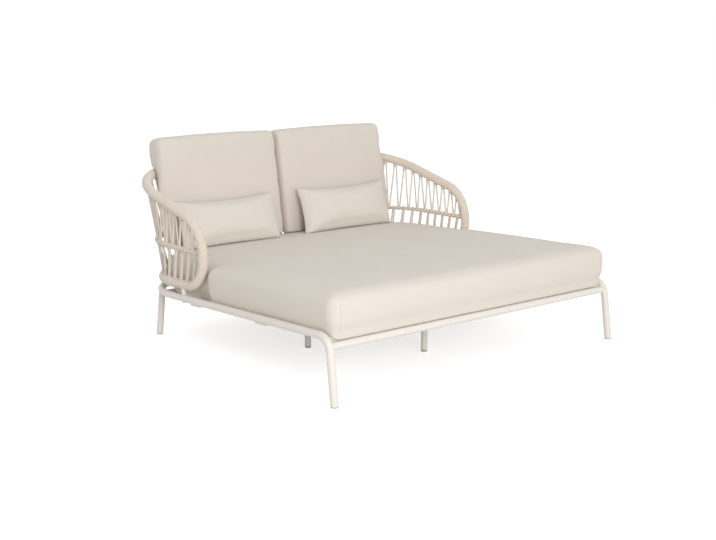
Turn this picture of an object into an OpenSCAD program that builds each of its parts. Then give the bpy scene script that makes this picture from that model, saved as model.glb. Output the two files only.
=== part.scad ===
// Outdoor daybed: a bent-tube base that falls gently to the rear, a rope-wrapped
// arm and back loop with a rope lattice, a deep mattress and four loose cushions.
// X runs across the seat, Y from the open front to the back, Z up.
// The origin lies on the floor at the centre of the overall box.

/* [Base frame] */
// Distance between the axes of the two side rails
frame_w = 1580; // [1200:10:2000]
// Distance from the front corner to the axis of the rear rail
frame_d = 1436; // [1200:4:1800]
// Diameter of the side rail, front leg and rear rail tube
rail_d = 32; // [25:1:40]
// Height of the side rail axis at the front corner
rail_front_h = 263; // [220:1:320]
// Height of the rear rail axis
rail_rear_h = 220; // [190:1:300]
// Centre-line radius of the rear corners in plan
rear_corner_r = 318; // [200:1:400]
// Centre-line radius of the bend from side rail to front leg
leg_bend_r = 66; // [50:1:90]
// How far the front foot stands in front of the corner
front_foot_rake = 36; // [0:1:60]
// How far the front foot stands outside the side rail axis
front_foot_splay = 4; // [0:1:20]
// Diameter of the front rail and of the rear legs, welded on
welded_tube_d = 30; // [22:1:30]
// Depth of the front rail axis below the side rail axis
front_rail_drop = 37; // [30:1:50]

/* [Legs] */
// Place of the rear leg on the corner arc, from the side rail direction
rear_leg_angle = 40; // [20:1:60]
// How far the rear foot stands outside the top of its leg
rear_foot_splay = 15; // [0:1:30]
// How far the rear foot stands behind the top of its leg
rear_foot_rake = 13; // [0:1:30]
// Diameter of the three middle legs
middle_leg_d = 28; // [20:1:30]
// Distance of the single middle leg behind the front corner
front_middle_leg_y = 333; // [200:1:390]
// Place of the paired middle legs between the front and the rear cross bar
side_middle_leg_share = 0.529; // [0.3:0.001:0.7]
// Distance of each paired middle leg from the centre plane
side_middle_leg_x = 353; // [200:1:500]
// Height of the plastic glides under the corner legs
glide_h = 5; // [3:1:10]
// Height of the rounded caps under the middle legs
cap_h = 12; // [8:1:20]

/* [Seat support] */
// Width of the two flat cross bars under the side rails
cross_bar_w = 70; // [40:1:90]
// Thickness of the cross bars
cross_bar_t = 8; // [6:1:12]
// Distance of the front cross bar's centre behind the front corner
front_cross_bar_y = 449; // [440:1:520]
// Distance of the rear cross bar's centre in front of the rear rail
rear_cross_bar_in = 503; // [440:1:540]
// Number of seat slats
slat_count = 10; // [6:1:12]
// Width of a seat slat
slat_w = 60; // [40:1:80]
// Thickness of a seat slat
slat_t = 4; // [3:1:6]
// Distance of the outer slats' axes inside the side rails' axes
slat_inset = 100; // [90:5:160]
// Thickness of the ledge that carries the slats' front ends
ledge_t = 8; // [6:1:12]
// Height of the ledge and of the leg beams
beam_h = 20; // [16:1:24]
// Width of the beams that carry the middle legs
beam_w = 30; // [28:1:40]

/* [Arm and back loop] */
// Distance of the arms' axis plane inside the side rail's axis
arm_inset = 14; // [0:1:16]
// Length of the arm, from its front axis to the rear rail's axis
arm_len = 558; // [500:1:600]
// Height of the top rail's axis line at the front of the arm
arm_top_h = 560; // [500:1:620]
// Angle at which the top rail climbs to the rear
top_rise = 14.6; // [5:0.1:20]
// Distance of the back's top rail behind the rear rail's axis
back_rake = 102; // [60:1:140]
// Height of the lower loop rail's axis above the base rail's axis
loop_gap_h = 56; // [50:1:80]
// Centre-line radius of the top rail's rear corners
top_corner_r = 290; // [200:1:340]
// Centre-line radius of the arm's upper front bend
arm_top_bend_r = 168; // [120:1:170]
// Centre-line radius of the arm's lower front bend
arm_low_bend_r = 134; // [100:1:134]
// Outer diameter of the rope winding on the loop
wrap_d = 44; // [38:1:50]
// Diameter of the loop's bare tube
core_d = 30; // [22:1:32]
// Diameter of the short posts between base rail and loop
post_d = 20; // [16:1:24]
// Distance of the side posts behind the arm's front axis
side_post_back = 144; // [140:1:160]
// Distance of the side posts' axis inside the side rail's axis
side_post_inset = 3; // [0:1:4]
// Distance of the rear posts from the centre plane
rear_post_x = 420; // [200:1:450]
// Shank diameter of the bolts that hold the loop
bolt_d = 8; // [6:1:10]

/* [Rope lattice] */
// Height of the level middle rail
mid_rail_h = 445; // [400:1:480]
// Diameter of the wound middle rail
mid_rail_d = 12; // [8:1:16]
// Centre-line radius of the middle rail's rear corners
mid_corner_r = 308; // [200:1:330]
// Diameter of a lattice rope
rope_d = 8; // [6:1:10]
// Number of lattice cells between the rear centre and the arm's front
half_cells = 22; // [10:1:24]
// Distance of the first knot behind the arm's front axis, along the top rail
first_knot = 56; // [50:1:120]
// Distance of the first lower pair behind the arm's front axis, on the middle rail
first_pair = 55; // [50:1:80]
// The same distance on the lower rail
first_low_pair = 85; // [80:1:120]
// Distance of the foremost rope behind the arm's front axis
foremost_rope = 38; // [34:1:44]
// Distance between the two ropes of a pair
pair_gap = 10; // [10:1:18]

/* [Mattress] */
// Thickness of the mattress from the slats to its top edge
mattress_t = 174; // [120:1:220]
// Distance of the mattress's widest side inside the side rail's axis, in front of the arms
mattress_inset = 1; // [0:1:12]
// How far the front face swells past the front corner
mattress_front = 21; // [0:1:30]
// Height of the top edge's rounding
mattress_round = 46; // [20:1:60]
// How far the top edge's rounding reaches in over the top
mattress_round_in = 64; // [20:1:90]
// Rise of the crown over the top edge
mattress_crown = 8; // [0:1:30]
// How far the sides draw in towards the bottom
mattress_draw = 16; // [16:1:30]
// Plan radius of the front corners
mattress_corner_r = 44; // [40:1:120]
// Room between the mattress's shoulder and the arm's front
shoulder_gap = 18; // [5:1:40]

/* [Back cushions] */
// Room between a back cushion's outer side and the arm's axis plane
back_side_room = 111; // [100:1:200]
// Height of each back cushion along its lean
back_h = 513; // [300:1:600]
// Depth of the boxing
back_t = 104; // [60:1:110]
// Crown of the front and rear faces
back_crown = 9; // [0:1:15]
// Lean of the back cushions from upright
back_lean = 9.2; // [0:0.1:15]
// Gap between the two back cushions
back_gap = 7; // [1:1:20]
// How far the left back cushion's inner side lies right of the middle
back_shift = 5; // [-10:1:10]
// How far a back cushion's outer side swells at its foot
back_swell = 30; // [5:1:40]
// Corner radius of a back cushion's face
back_corner_r = 34; // [20:1:60]

/* [Lumbar pillows] */
// How much narrower a lumbar pillow is than its back cushion, tip to tip
pillow_side_room = 120; // [20:1:200]
// Height of each lumbar pillow, tip to tip
pillow_h = 226; // [150:1:300]
// Greatest thickness of each lumbar pillow
pillow_t = 124; // [80:1:150]
// How far the long edges draw in between the tips
pillow_long_dip = 11; // [0:1:30]
// How far the short edges draw in between the tips
pillow_short_dip = 9; // [0:1:30]
// How far the left lumbar pillow lies left of its back cushion's centre
left_pillow_shift = 40; // [-20:1:60]
// How far the right lumbar pillow lies left of its back cushion's centre
right_pillow_shift = 12; // [-20:1:60]
// Lean of the lumbar pillows from upright
pillow_lean = 19; // [10:0.5:30]

/* [Hidden] */
$fn = 48;
// Clearance of a soft piece from what it rests on or leans against
soft_gap = 0.4;
// Clearance of a rope or of the winding from the rail that it meets
rope_gap = 0.3;
// Clearance of a bolt's shank in its hole
bolt_gap = 0.4;
// Overrun of a cutting shape past what it cuts
over = 30;
// How far a straight run reaches into a bend, and how much thinner it is
bend_lap = 0.6;
bend_step = 0.1;
// Hairline left open where two tubes or windings meet end to end
joint_gap = 0.2;
// Bolt head
bolt_head_d = 14;
bolt_head_h = 5;
// How far the shank reaches into the post
bolt_reach = 10;
// Where the posts' cut ends begin beside the tubes' axes
post_foot = 3;
post_head = 8;
// Edge radius of the middle legs' caps
cap_round = 8;
// Inset of a glide from the tube's outside
glide_inset = 1;
// Room between the ledge's ends and the side tubes
ledge_end_gap = 0.5;
// Setback of the slats' ends on the ledge
slat_setback = 4;

// Slope of the rail plane and its basis
slope = atan((rail_front_h - rail_rear_h) / frame_d);
rail_len = frame_d / cos(slope);
rake_angle = atan(front_foot_rake / rail_front_h);
front_reach = front_foot_rake + rail_d / 2 / cos(rake_angle);
rear_reach = back_rake + wrap_d / 2;
front_y = front_reach - (front_reach + frame_d + rear_reach) / 2;
rear_y = front_y + frame_d;
rail_x = frame_w / 2;
slat_top = -rail_d / 2 + slat_t;

// Places tied to the frame
arm_x = rail_x - arm_inset;
arm_front_y = frame_d - arm_len;
side_post_x = rail_x - side_post_inset;
side_post_y = arm_front_y + side_post_back;
mattress_half_w = rail_x - mattress_inset;
slat_spread = frame_w - 2 * slat_inset;
rear_cross_bar_y = frame_d - rear_cross_bar_in;
side_middle_leg_y = front_cross_bar_y
                  + side_middle_leg_share * (rear_cross_bar_y - front_cross_bar_y);

// Loop
arm_y = front_y + arm_front_y;
top_y = rear_y + back_rake;
top_z = arm_top_h + (top_y - arm_y) * tan(top_rise);
arm_low_v = (arm_front_y - loop_gap_h * sin(slope)) / cos(slope);
top_seam_y = top_y - top_corner_r * cos(top_rise);
top_seam_z = top_z - top_corner_r * sin(top_rise);
low_seam_v = rail_len - rear_corner_r;
low_z = rail_rear_h + loop_gap_h * cos(slope);

// Middle rail: on the surface between the lower and the top rail
mid_share = (mid_rail_h - low_z) / (top_z - low_z);
mid_y = rear_y + loop_gap_h * sin(slope) + mid_share * back_rake;
mid_seam_y = mid_y - mid_corner_r;
// The middle rail stops at the arm, which has begun to bend back at that height
arm_bend_z = arm_top_h - arm_top_bend_r * tan((90 - top_rise) / 2);
arm_bend_rise = max(0, mid_rail_h + mid_rail_d / 2 - arm_bend_z);
mid_front_y = arm_y + wrap_d / 2 + rope_gap
            + arm_top_bend_r - sqrt(pow(arm_top_bend_r, 2) - pow(arm_bend_rise, 2));

// Lattice pitches, from the rear centre to the arm's front
quarter = PI / 2;
top_run = arm_x - top_corner_r + quarter * top_corner_r
        + (top_seam_y - arm_y) / cos(top_rise) - first_knot;
mid_len = arm_x - mid_corner_r + quarter * mid_corner_r + mid_seam_y - arm_y;
mid_run = mid_len - first_pair;
low_run = arm_x - rear_corner_r + quarter * rear_corner_r + low_seam_v - arm_low_v
        - first_low_pair;
// Where the arm's front bends start along the top and lower lines
top_bend_s = arm_x - top_corner_r + quarter * top_corner_r + (top_seam_y - arm_y) / cos(top_rise)
           - arm_top_bend_r * tan((90 - top_rise) / 2);
low_bend_s = arm_x - rear_corner_r + quarter * rear_corner_r + low_seam_v - arm_low_v
           - arm_low_bend_r * tan((90 - slope) / 2);

// Mattress
mattress_top = slat_top + mattress_t;
mattress_bottom = slat_top + soft_gap;
narrow_half_w = arm_x - wrap_d / 2 - 3 * soft_gap;
mattress_rear_r = rear_corner_r - wrap_d / 2 - 3 * soft_gap;
mattress_rear_v = rail_len - wrap_d / 2 - 3 * soft_gap;
shoulder_v = arm_low_v - wrap_d / 2 - shoulder_gap;
shoulder_r = 12;
least_r = 4;
front_rail_top = -front_rail_drop + welded_tube_d / 2;
lip_drop = mattress_bottom - front_rail_top - soft_gap;
// Where the hanging front lip starts behind the front corner, and where it hangs fully
lip_start = welded_tube_d / 2 - slat_setback / 2;
lip_full = 5;

// Back cushions
back_w = arm_x - back_side_room;
left_back_x = back_shift - back_w / 2;
right_back_x = back_shift + back_gap + back_w / 2;
back_z = rail_rear_h + mattress_top + mattress_crown;
back_y = top_y - (back_t + back_crown + soft_gap + wrap_d / 2
       + (top_z - back_z) * sin(back_lean)) / cos(back_lean);
// Lumbar pillows: they lean on the cushions' crowns and stand on the mattress's
pillow_w = back_w - pillow_side_room;
left_pillow_x = left_back_x - left_pillow_shift;
right_pillow_x = right_back_x - right_pillow_shift;
ring_shares = [0.2, 0.42, 0.6, 0.74, 0.85, 0.93, 0.98];
function pillow_half(s) = pillow_t / 2 * pow(1 - pow(s, 2.6), 0.62);
// How far a pillow reaches from its centre, at an angle from its thickness towards its height
function pillow_reach(a) = max([for (s = concat([0], ring_shares, [1]))
                                cos(a) * pillow_half(s) + sin(a) * s * pillow_h / 2]);
pillow_lean_share = 0.84;
pillow_seat_share = 0.74;
pillow_depth = -(pillow_lean_share * back_crown + pillow_reach(pillow_lean - back_lean) + soft_gap);
pillow_foot_y = back_y + pillow_depth * cos(back_lean) - pillow_h / 2 * sin(pillow_lean);
seat_z = rail_front_h - (pillow_foot_y - front_y) * tan(slope)
       + (mattress_top + pillow_seat_share * mattress_crown) / cos(slope);
pillow_up = (seat_z + pillow_reach(90 - pillow_lean) + soft_gap - back_z
             + pillow_depth * sin(back_lean)) / (cos(back_lean) + sin(back_lean) * tan(slope));

// Vectors and places
function unit(a) = a / norm(a);
function rail_point(x, v, w) = [x, front_y + v * cos(slope) + w * sin(slope),
                                rail_front_h - v * sin(slope) + w * cos(slope)];
function flip(p, side) = [p.x * side, p.y, p.z];

module on_rails() translate([0, front_y, rail_front_h]) rotate([-slope, 0, 0]) children();

module basis(e1, e2, e3, p)
    multmatrix([[e1.x, e2.x, e3.x, p.x], [e1.y, e2.y, e3.y, p.y],
                [e1.z, e2.z, e3.z, p.z], [0, 0, 0, 1]]) children();

// A straight tube from point a to point b
function across(u) = abs(u.z) < 0.9 ? unit(cross(u, [0, 0, 1])) : unit(cross(u, [0, 1, 0]));
module rod(a, b, d) {
    u = unit(b - a);
    e = across(u);
    basis(e, cross(u, e), u, a) cylinder(h = norm(b - a), d = d);
}

// Distance from a corner to where its bend starts
function trim(a, c, b, r) = let (dot = unit(a - c) * unit(b - c)) r * sqrt((1 + dot) / (1 - dot));

// A bend at corner c between the runs from a and to b
module bend(a, c, b, r, d) {
    ua = unit(a - c);
    ub = unit(b - c);
    t = trim(a, c, b, r);
    centre = c + unit(ua + ub) * norm([r, t]);
    e1 = unit(c + ua * t - centre);
    basis(e1, -ua, cross(e1, -ua), centre)
        rotate_extrude(angle = 180 - acos(ua * ub)) translate([r, 0]) circle(d = d);
}

// A tube through the corners p, bent with the radii r at the inner ones.
// A straight run is thinner by a hair and reaches into the bends beside it.
module tube(p, r, d) {
    last = len(p) - 1;
    for (i = [0 : last - 1]) {
        u = unit(p[i + 1] - p[i]);
        a = i == 0 ? p[0] : p[i] + u * (trim(p[i - 1], p[i], p[i + 1], r[i - 1]) - bend_lap);
        b = i == last - 1 ? p[last] : p[i + 1] - u * (trim(p[i], p[i + 1], p[i + 2], r[i]) - bend_lap);
        if (norm(b - a) > 2 * bend_lap) rod(a, b, d - bend_step);
    }
    for (i = [1 : last - 1]) bend(p[i - 1], p[i], p[i + 1], r[i - 1], d);
}

// Everything above or below a height
module below(h) translate([-frame_w, -frame_d, h - rail_front_h])
    cube([2 * frame_w, 2 * frame_d, rail_front_h]);

// Base frame
front_foot = [rail_x + front_foot_splay, front_y - front_foot_rake, 0];
front_corner = rail_point(rail_x, 0, 0);
side_end = rail_point(rail_x, low_seam_v - joint_gap, 0);
rear_start = rail_point(rail_x, low_seam_v, 0);
rear_corner = rail_point(rail_x, rail_len, 0);
side_path = [front_foot, front_corner, side_end];

module bolt_hole(x, v) on_rails()
    translate([x, v, -rail_d]) cylinder(h = 3 * rail_d / 2 + bolt_reach, d = bolt_d + bolt_gap);

module side_tube(side) tube([for (p = side_path) flip(p, side)], [leg_bend_r], rail_d);
module rear_tube() tube([flip(rear_start, -1), flip(rear_corner, -1), rear_corner, rear_start],
                        [rear_corner_r, rear_corner_r], rail_d);

module side_rail(side) color("oldlace") mirror([side > 0 ? 1 : 0, 0, 0]) difference() {
    side_tube(-1);
    below(glide_h);
    bolt_hole(-side_post_x, side_post_y);
}

module front_rail() color("oldlace") difference() {
    rod(rail_point(-rail_x, 0, -front_rail_drop), rail_point(rail_x, 0, -front_rail_drop),
        welded_tube_d);
    for (side = [-1, 1])
        bend(flip(front_foot, side), flip(front_corner, side), flip(side_end, side), leg_bend_r, rail_d);
}

module rear_rail() color("oldlace") difference() {
    rear_tube();
    for (side = [-1, 1]) bolt_hole(side * rear_post_x, rail_len);
}

// Top and foot of a rear leg
rear_leg_top = rail_point(rail_x - rear_corner_r * (1 - cos(rear_leg_angle)),
                          low_seam_v + rear_corner_r * sin(rear_leg_angle), 0);
rear_foot = [rear_leg_top.x + rear_foot_splay, rear_leg_top.y + rear_foot_rake, 0];

module rear_leg(side) color("oldlace") difference() {
    rod(flip(rear_foot, side), flip(rear_leg_top, side), welded_tube_d);
    rear_tube();
    below(glide_h);
}

// Seat support, in the rail plane
module cross_bar(v) color("oldlace") on_rails()
    translate([-rail_x, v - cross_bar_w / 2, -rail_d / 2 - cross_bar_t])
    cube([frame_w, cross_bar_w, cross_bar_t]);

module slat_ledge() color("oldlace") on_rails() {
    half = rail_x - rail_d / 2 - ledge_end_gap;
    translate([-half, welded_tube_d / 2, -rail_d / 2 - beam_h]) cube([2 * half, ledge_t, beam_h]);
}

module leg_beam(x, from, to) color("oldlace") on_rails()
    translate([x - beam_w / 2, from, -rail_d / 2 - beam_h]) cube([beam_w, to - from, beam_h]);

module centre_beam() leg_beam(0, welded_tube_d / 2 + ledge_t, front_cross_bar_y - cross_bar_w / 2);
module side_beam(side) leg_beam(side * side_middle_leg_x, front_cross_bar_y + cross_bar_w / 2,
                                rear_cross_bar_y - cross_bar_w / 2);

// A slat ends against the rear rail, or against its corner arc
function slat_end(x) = let (
        set_in = sqrt(pow(rail_d / 2, 2) - pow(slat_top, 2)),
        past = max(0, abs(x) + slat_w / 2 - rail_x + rear_corner_r))
    low_seam_v + sqrt(pow(rear_corner_r - set_in, 2) - pow(past, 2));

module seat_slats() color("oldlace") on_rails() {
    from = welded_tube_d / 2 + slat_setback;
    for (i = [0 : slat_count - 1]) {
        x = slat_spread * (i / (slat_count - 1) - 1 / 2);
        translate([x - slat_w / 2, from, -rail_d / 2]) cube([slat_w, slat_end(x) - from, slat_t]);
    }
}

// Middle legs stand upright between their caps and the beams
module middle_leg(x, y) color("oldlace") difference() {
    translate([x, front_y + y, cap_h]) cylinder(h = rail_front_h - cap_h, d = middle_leg_d);
    on_rails() translate([x - over, y - 2 * over, -rail_d / 2 - beam_h])
        cube([2 * over, 4 * over, rail_front_h]);
}

module cap(x, y) translate([x, front_y + y, 0]) rotate_extrude() {
    r = middle_leg_d / 2;
    square([r - cap_round, cap_h]);
    translate([0, cap_round]) square([r, cap_h - cap_round]);
    translate([r - cap_round, cap_round]) intersection() {
        circle(r = cap_round);
        translate([0, -cap_round]) square(cap_round);
    }
}

module foot_glides() color("gainsboro") {
    for (side = [-1, 1]) {
        translate(flip(front_foot, side)) cylinder(h = glide_h, d = rail_d - 2 * glide_inset);
        translate(flip(rear_foot, side)) cylinder(h = glide_h, d = welded_tube_d - 2 * glide_inset);
        cap(side * side_middle_leg_x, side_middle_leg_y);
    }
    cap(0, front_middle_leg_y);
}

// Arm and back loop
low_seam = rail_point(arm_x, low_seam_v, loop_gap_h);
low_front = rail_point(arm_x, arm_low_v, loop_gap_h);
low_rear = rail_point(arm_x, rail_len, loop_gap_h);
top_front = [arm_x, arm_y, arm_top_h];
top_seam = [arm_x, top_seam_y, top_seam_z];
top_rear = [arm_x, top_y, top_z];

low_end = rail_point(arm_x, low_seam_v - joint_gap, loop_gap_h);
top_end = top_seam + joint_gap * unit(top_front - top_seam);
module arm_tube(side, d)
    tube([for (p = [low_end, low_front, top_front, top_end]) flip(p, side)],
         [arm_low_bend_r, arm_top_bend_r], d);
module back_tube(seam, corner, r, d)
    tube([flip(seam, -1), flip(corner, -1), corner, seam], [r, r], d);

bore_d = core_d + 2 * rope_gap;
module arm_core(side) color("oldlace") arm_tube(side, core_d);
module back_core_top() color("oldlace") back_tube(top_seam, top_rear, top_corner_r, core_d);
module back_core_bottom() color("oldlace") back_tube(low_seam, low_rear, rear_corner_r, core_d);
module arm_wrap(side) color("wheat") difference() {
    arm_tube(side, wrap_d);
    arm_tube(side, bore_d);
}
module back_wrap(seam, corner, r) color("wheat") difference() {
    back_tube(seam, corner, r, wrap_d);
    back_tube(seam, corner, r, bore_d);
}
module back_wrap_top() back_wrap(top_seam, top_rear, top_corner_r);
module back_wrap_bottom() back_wrap(low_seam, low_rear, rear_corner_r);

// Posts between base and loop, cut to the round of both tubes
module post(x, v) on_rails() translate([x, v, post_foot])
    cylinder(h = loop_gap_h - post_foot - post_head, d = post_d);

module loop_posts() color("oldlace") difference() {
    for (side = [-1, 1]) {
        post(side * side_post_x, side_post_y);
        post(side * rear_post_x, rail_len);
    }
    for (side = [-1, 1]) {
        rod(flip(front_corner, side), flip(side_end, side), rail_d);
        rod(flip(low_front, side), flip(low_end, side), wrap_d);
    }
    rod(flip(rear_corner, -1), rear_corner, rail_d);
    rod(flip(low_rear, -1), low_rear, wrap_d);
    for (side = [-1, 1]) {
        bolt_hole(side * side_post_x, side_post_y);
        bolt_hole(side * rear_post_x, rail_len);
    }
}

module bolt(x, v) on_rails() translate([x, v, -rail_d / 2]) {
    translate([0, 0, -bolt_head_h]) cylinder(h = bolt_head_h, d = bolt_head_d);
    translate([0, 0, -bolt_head_h])
        cylinder(h = bolt_head_h + rail_d + bolt_reach - bolt_gap, d = bolt_d);
}

module loop_bolts() color("silver") for (side = [-1, 1]) {
    bolt(side * side_post_x, side_post_y);
    bolt(side * rear_post_x, rail_len);
}

// Rope lattice: three U-shaped lines, each measured from the rear centre
function u_place(s, r) = let (a = abs(s), flat = arm_x - r, turn = (a - flat) / r * 180 / PI)
    a <= flat ? [s, 0]
    : turn <= 90 ? [sign(s) * (flat + r * sin(turn)), r * (1 - cos(turn))]
    : [sign(s) * arm_x, r + a - flat - quarter * r];
// Past the start of the arm's front bend, a line curls along the bend
function curl(p, ahead, aside, r, past) = let (turn = past / r * 180 / PI)
    p + ahead * r * sin(turn) + aside * r * (1 - cos(turn));
function top_point(s) = let (
        straight = min(abs(s), top_bend_s),
        q = u_place(sign(s) * straight, top_corner_r))
    curl([q.x, top_y - q.y * cos(top_rise), top_z - q.y * sin(top_rise)],
         [0, -cos(top_rise), -sin(top_rise)], [0, sin(top_rise), -cos(top_rise)],
         arm_top_bend_r, abs(s) - straight);
function low_point(s) = let (
        straight = min(abs(s), low_bend_s),
        q = u_place(sign(s) * straight, rear_corner_r))
    curl(rail_point(q.x, rail_len - q.y, loop_gap_h),
         [0, -cos(slope), sin(slope)], [0, sin(slope), cos(slope)],
         arm_low_bend_r, abs(s) - straight);
function mid_point(s) = let (q = u_place(s, mid_corner_r)) [q.x, mid_y - q.y, mid_rail_h];
function top_heading(s) = unit(top_point(s + rope_d) - top_point(s - rope_d));
function low_heading(s) = unit(low_point(s + rope_d) - low_point(s - rope_d));
function mid_heading(s) = unit(mid_point(s + rope_d) - mid_point(s - rope_d));

// Curvature of the top and of the lower winding's inner side at a place on them
function top_curve(s) = abs(s) > top_bend_s ? 1 / (arm_top_bend_r - wrap_d / 2) : 0;
function low_curve(s) = abs(s) > low_bend_s ? 1 / (arm_low_bend_r - wrap_d / 2) : 0;

// Length of a rope along u inside a rail of heading h and radius r that curves towards it
function inside(u, h, r, curve) = let (
        along = u * h,
        aside = norm(cross(u, h)),
        reach = r + rope_gap + rope_d / 2 * abs(along))
    2 * reach / (aside + sqrt(max(0, pow(aside, 2) - 2 * curve * pow(along, 2) * reach)));

// A rope from a on an outer rail to b on the middle rail, clear of both by the rope gap
module strand(a, b, ha, hb, curve) {
    u = unit(b - a);
    e = across(u);
    from = inside(u, ha, wrap_d / 2, curve);
    to = inside(u, hb, mid_rail_d / 2, 0);
    basis(e, cross(u, e), u, a + u * from)
        cylinder(h = norm(b - a) - from - to, d = rope_d, $fn = 8);
}

// Places of a knot on the top rail, and of a pair on the middle and on the lower rail
function top_at(i) = i / half_cells * top_run;
function mid_at(i) = i / half_cells * mid_run;
function low_at(i) = i / half_cells * low_run;

// Upper part of a cell: two ropes spread down from a knot to the middle rail,
// where each one meets a rope of the next knot
module knot_ropes(i) for (way = [-1, 1]) {
    top = top_at(i) + way * pair_gap / 2;
    met = mid_at(i + way / 2) - way * pair_gap / 2;
    mid = sign(met) * min(abs(met), mid_len - foremost_rope);
    strand(top_point(top), mid_point(mid), top_heading(top), mid_heading(mid), top_curve(top));
}

// Lower part of a cell: a pair of ropes under the knot, down to the lower rail
module pair_ropes(i) for (way = [-1, 1]) {
    mid = mid_at(i) + way * pair_gap / 2;
    low = low_at(i) + way * pair_gap / 2;
    strand(low_point(low), mid_point(mid), low_heading(low), mid_heading(mid), low_curve(low));
}

module weave_upper() color("wheat") for (i = [-half_cells : half_cells]) knot_ropes(i);
module weave_lower() color("wheat") for (i = [-half_cells : half_cells]) pair_ropes(i);

module mid_rail_side(side) color("wheat")
    rod([side * arm_x, mid_front_y, mid_rail_h],
        [side * arm_x, mid_seam_y - joint_gap, mid_rail_h], mid_rail_d);
module mid_rail_back() color("wheat")
    tube([for (p = [[-arm_x, mid_seam_y], [-arm_x, mid_y], [arm_x, mid_y], [arm_x, mid_seam_y]])
          [p.x, p.y, mid_rail_h]], [mid_corner_r, mid_corner_r], mid_rail_d);

// Soft pieces: closed rings of points, stacked from one pole to the other
function arc(c, r, from, to, n) =
    [for (i = [0 : n]) let (a = from + (to - from) * i / n) c + r * [cos(a), sin(a)]];

module stacked(rings, low_pole, high_pole) {
    n = len(rings[0]);
    k = len(rings);
    high = n * k + 1;
    polyhedron(
        points = concat([low_pole], [for (ring = rings) each ring], [high_pole]),
        faces = concat(
            [for (i = [0 : n - 1]) [0, 1 + i, 1 + (i + 1) % n]],
            [for (r = [0 : k - 2], i = [0 : n - 1])
                let (a = 1 + r * n + i, b = 1 + r * n + (i + 1) % n)
                each [[a, a + n, b + n], [a, b + n, b]]],
            [for (i = [0 : n - 1])
                let (r = 1 + (k - 1) * n) [high, r + (i + 1) % n, r + i]]));
}

// Plan outline of the mattress, drawn in by e all round
function mattress_plan(e) = let (
        rf = max(mattress_corner_r - e, least_r),
        rr = max(mattress_rear_r - e, least_r),
        wide = mattress_half_w - e,
        narrow = narrow_half_w - e,
        front = e - mattress_front,
        rear = mattress_rear_v - e,
        shoulder = shoulder_v - e / 4,
        right = concat(
            arc([wide - rf, front + rf], rf, 270, 360, 5),
            arc([wide - shoulder_r, shoulder - shoulder_r], shoulder_r, 0, 90, 2),
            [[narrow, shoulder]],
            arc([narrow - rr, rear - rr], rr, 0, 90, 8)))
    concat(right, [for (i = [len(right) - 1 : -1 : 0]) [-right[i].x, right[i].y]]);

// The lip hangs in front of the slats, down to the front rail
function lip(v) = v > lip_start ? 0 : lip_drop * min(1, (lip_start - v) / (lip_start - lip_full));

// Side profile of the mattress: how far each ring draws in, and its height
draw_shares = [[1, 0.10], [0.97, 0.17], [0.45, 0.26], [0.12, 0.38], [0, 0.52], [0.05, 0.64]];
crown_shares = [[0.07, 0.35], [0.14, 0.68], [0.27, 0.90], [0.5, 0.98], [0.74, 1]];
mattress_profile = concat(
    [for (s = draw_shares) [s[0] * mattress_draw, s[1] * mattress_t]],
    [for (a = [0 : 18 : 90]) [mattress_round_in * (1 - cos(a)),
                              mattress_t - mattress_round * (1 - sin(a))]],
    [for (s = crown_shares) [mattress_round_in + s[0] * narrow_half_w,
                             mattress_t + s[1] * mattress_crown]]);

module mattress() color("linen") on_rails() {
    under = [for (e = [narrow_half_w / 2, mattress_front + lip_start + least_r,
                       mattress_front + lip_start, mattress_front + lip_full, mattress_draw + least_r])
             [for (p = mattress_plan(e)) [p.x, p.y, mattress_bottom - lip(p.y)]]];
    over_rings = [for (s = mattress_profile)
                  [for (p = mattress_plan(s[0])) [p.x, p.y, slat_top + s[1]]]];
    stacked(concat(under, over_rings), [0, rail_len / 2, mattress_bottom],
            [0, rail_len / 2, mattress_top + mattress_crown]);
}

// Widest place at a depth and height inside the loop's rear corner
function loop_room(y, z) = let (
        k = min(1, max(0, (z - low_z) / (top_z - low_z))),
        r = rear_corner_r + k * (top_corner_r - rear_corner_r),
        thick = mid_rail_d / 2 + k * (wrap_d - mid_rail_d) / 2 + 4 * soft_gap,
        squash = 1 + k * (cos(top_rise) - 1),
        cy = rear_y + k * back_rake - r * squash)
    arm_x - r + (y < cy ? r - thick
                 : sqrt(max(0, pow(r - thick, 2) - pow((y - cy) / squash, 2))));

module on_back() translate([0, back_y, back_z]) rotate([-back_lean, 0, 0]) children();

// Height on the lean, at a depth through a cushion, where the top rail's bend is passed
function rail_pass(depth) = (top_z + wrap_d / 2 - back_z + depth * sin(back_lean)
        - (top_y - back_y - depth * cos(back_lean)) * tan(top_rise))
    / (cos(back_lean) - sin(back_lean) * tan(top_rise));

// Face outline of a back cushion drawn in by e, x outwards from the seam
swell_shares = [[1, 0.28], [0.62, 0.5], [0.4, 0.6]];
over_rail = 5 * soft_gap;
pass_share = 0.62;
function back_outline(e, depth) = let (
        r = max(back_corner_r - e, least_r),
        lift = back_crown / 2,
        x0 = e, x1 = back_w - e, h0 = e, h1 = back_h - e,
        pass = min(max(rail_pass(depth), h0 + pass_share * (h1 - h0)), h1 - r - least_r))
    concat(
        arc([x0 + r, h0 + r], r, 180, 270, 4),
        [[back_w / 2, h0]],
        arc([x1 + back_swell - r, h0 + r], r, 270, 360, 4),
        [for (s = swell_shares) [x1 + s[0] * back_swell, h0 + s[1] * (h1 - h0)]],
        [[x1 + lift, pass]],
        arc([x1 - r, h1 - r], r, 0, 90, 4),
        [[back_w * 2 / 3, h1 + lift], [back_w / 3, h1 + lift]],
        arc([x0 + r, h1 - r], r, 90, 180, 4),
        [[x0, back_h / 2]]);

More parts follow.
